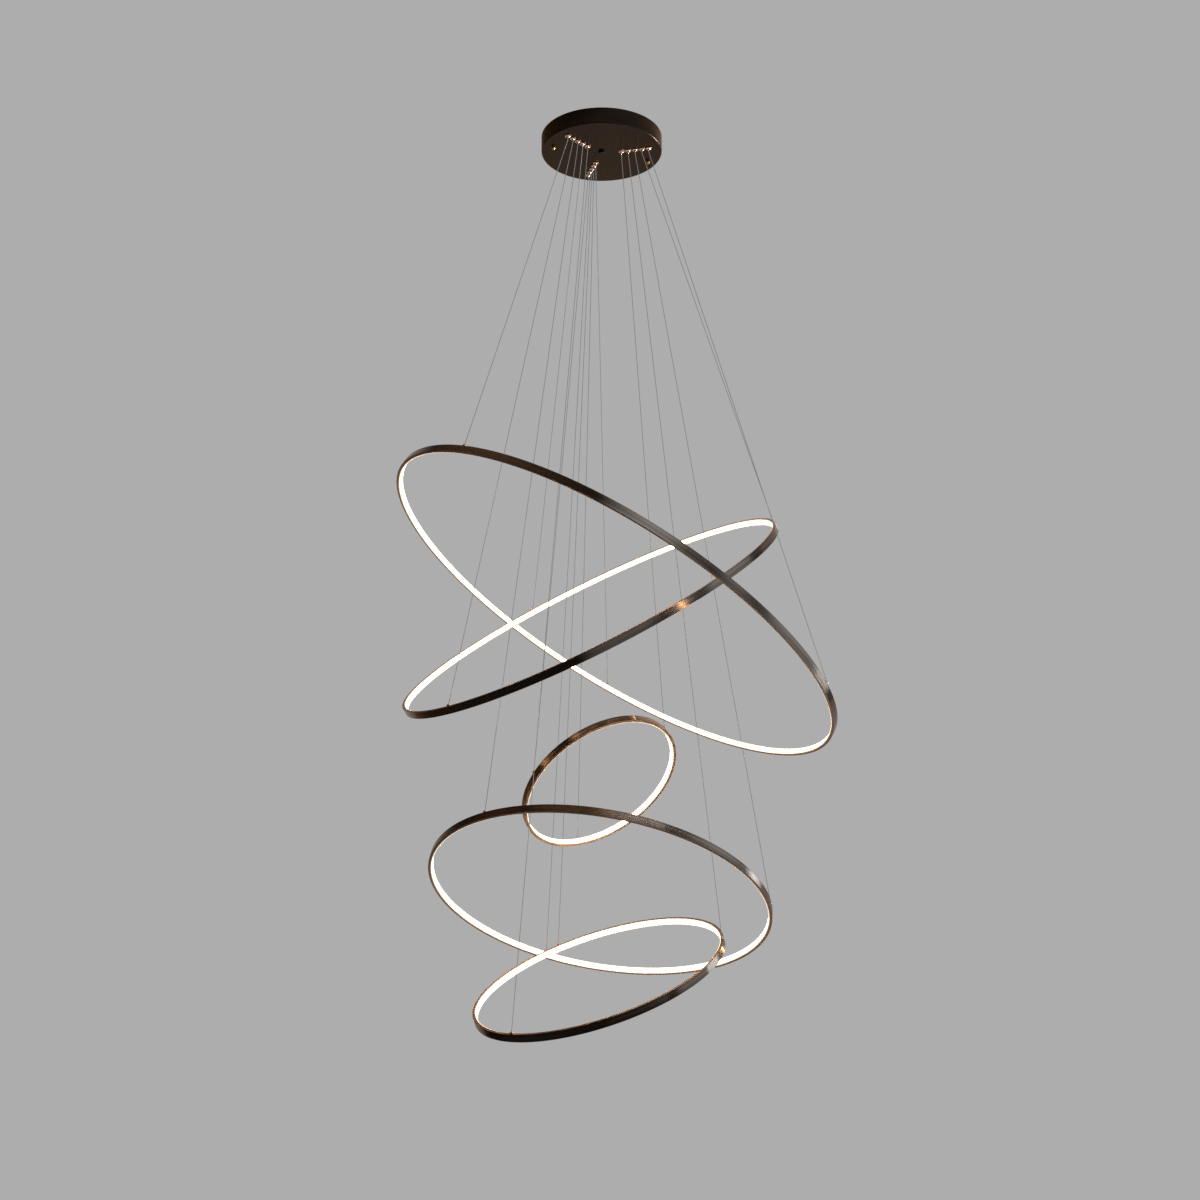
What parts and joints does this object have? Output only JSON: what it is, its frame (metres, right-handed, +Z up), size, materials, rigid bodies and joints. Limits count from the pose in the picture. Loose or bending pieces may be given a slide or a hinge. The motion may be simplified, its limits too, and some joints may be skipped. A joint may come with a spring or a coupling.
{
  "type": "ring chandelier",
  "caption": "Ceiling chandelier of slim tilted light hoops in graded sizes, hung on thin steel wires from one round canopy whose wire grippers set each hoop's height.",
  "frame": {"origin": "centre of the canopy on the ceiling plane, midway between the two ceiling screws", "axes": "+Z up, +X to the right and +Y away from the viewer of the picture"},
  "size_m": [1.0372, 1.1616, 2.1006],
  "materials": {
    "dark_bronze": "brushed, satin",
    "brushed_bronze": "dark bronze, brushed along the hoop",
    "opal_diffuser": "opal, lit",
    "led_strip": "white circuit film",
    "copper_plate": "polished copper plate",
    "polished_brass": "polished",
    "wire_steel": "stranded wire",
    "spring_steel": "bright",
    "zinc_steel": "zinc plated",
    "black_plastic": "moulded",
    "driver_case": "moulded",
    "white_plastic": "moulded",
    "foam_pad": "closed-cell foam",
    "lead_jacket": "smooth jacket"
  },
  "bodies": {
    "canopy": {"canopy_cover": "dark_bronze", "ceiling_bracket": "zinc_steel", "cover_studs": "zinc_steel", "stud_nuts": "zinc_steel", "cap_nuts": "polished_brass", "centre_plug": "black_plastic", "led_driver_1": "driver_case", "led_driver_2": "driver_case", "driver_pads": "foam_pad", "terminal_block": "white_plastic", "bracket_screws": "zinc_steel", "mains_leads": "lead_jacket", "gripper_bodies": "copper_plate", "gripper_nuts": "zinc_steel", "release_springs_1200": "spring_steel", "release_springs_1000": "spring_steel", "release_springs_800": "spring_steel", "release_springs_600": "spring_steel", "release_springs_400": "spring_steel", "wire_1200_1": "wire_steel", "wire_1200_2": "wire_steel", "wire_1200_3": "wire_steel", "wire_1000_1": "wire_steel", "wire_1000_2": "wire_steel", "wire_1000_3": "wire_steel", "wire_800_1": "wire_steel", "wire_800_2": "wire_steel", "wire_800_3": "wire_steel", "wire_600_1": "wire_steel", "wire_600_2": "wire_steel", "wire_600_3": "wire_steel", "wire_400_1": "wire_steel", "wire_400_2": "wire_steel", "wire_400_3": "wire_steel"},
    "hoop_1200": {"hoop_frame_1200": "brushed_bronze", "led_strip_1200": "led_strip", "diffuser_1200": "opal_diffuser", "wire_anchors_1200": "copper_plate"},
    "tips_1200": {"release_tips_1200": "copper_plate"},
    "hoop_1000": {"hoop_frame_1000": "brushed_bronze", "led_strip_1000": "led_strip", "diffuser_1000": "opal_diffuser", "wire_anchors_1000": "copper_plate"},
    "tips_1000": {"release_tips_1000": "copper_plate"},
    "hoop_800": {"hoop_frame_800": "brushed_bronze", "led_strip_800": "led_strip", "diffuser_800": "opal_diffuser", "wire_anchors_800": "copper_plate"},
    "tips_800": {"release_tips_800": "copper_plate"},
    "hoop_600": {"hoop_frame_600": "brushed_bronze", "led_strip_600": "led_strip", "diffuser_600": "opal_diffuser", "wire_anchors_600": "copper_plate"},
    "tips_600": {"release_tips_600": "copper_plate"},
    "hoop_400": {"hoop_frame_400": "brushed_bronze", "led_strip_400": "led_strip", "diffuser_400": "opal_diffuser", "wire_anchors_400": "copper_plate"},
    "tips_400": {"release_tips_400": "copper_plate"}
  },
  "joints": [
    {"name": "hoop_1200_height", "type": "slide", "parent": "canopy", "child": "hoop_1200", "axis": [0, 0, 1], "range_m": [0, 0.06], "deforming": ["wire_1200_1", "wire_1200_2", "wire_1200_3"]},
    {"name": "tips_1200_press", "type": "slide", "parent": "canopy", "child": "tips_1200", "axis": [0, 0, 1], "range_m": [0, 0.0015], "stiffness_N_per_m": 900, "springref_m": -0.002, "deforming": ["release_springs_1200"]},
    {"name": "hoop_1000_height", "type": "slide", "parent": "canopy", "child": "hoop_1000", "axis": [0, 0, 1], "range_m": [0, 0.025], "deforming": ["wire_1000_1", "wire_1000_2", "wire_1000_3"]},
    {"name": "tips_1000_press", "type": "slide", "parent": "canopy", "child": "tips_1000", "axis": [0, 0, 1], "range_m": [0, 0.0015], "stiffness_N_per_m": 900, "springref_m": -0.002, "deforming": ["release_springs_1000"]},
    {"name": "hoop_800_height", "type": "slide", "parent": "canopy", "child": "hoop_800", "axis": [0, 0, 1], "range_m": [0, 0.06], "deforming": ["wire_800_1", "wire_800_2", "wire_800_3"]},
    {"name": "tips_800_press", "type": "slide", "parent": "canopy", "child": "tips_800", "axis": [0, 0, 1], "range_m": [0, 0.0015], "stiffness_N_per_m": 900, "springref_m": -0.002, "deforming": ["release_springs_800"]},
    {"name": "hoop_600_height", "type": "slide", "parent": "canopy", "child": "hoop_600", "axis": [0, 0, 1], "range_m": [0, 0.25], "deforming": ["wire_600_1", "wire_600_2", "wire_600_3"]},
    {"name": "tips_600_press", "type": "slide", "parent": "canopy", "child": "tips_600", "axis": [0, 0, 1], "range_m": [0, 0.0015], "stiffness_N_per_m": 900, "springref_m": -0.002, "deforming": ["release_springs_600"]},
    {"name": "hoop_400_height", "type": "slide", "parent": "canopy", "child": "hoop_400", "axis": [0, 0, 1], "range_m": [0, 0.3], "deforming": ["wire_400_1", "wire_400_2", "wire_400_3"]},
    {"name": "tips_400_press", "type": "slide", "parent": "canopy", "child": "tips_400", "axis": [0, 0, 1], "range_m": [0, 0.0015], "stiffness_N_per_m": 900, "springref_m": -0.002, "deforming": ["release_springs_400"]}
  ]
}
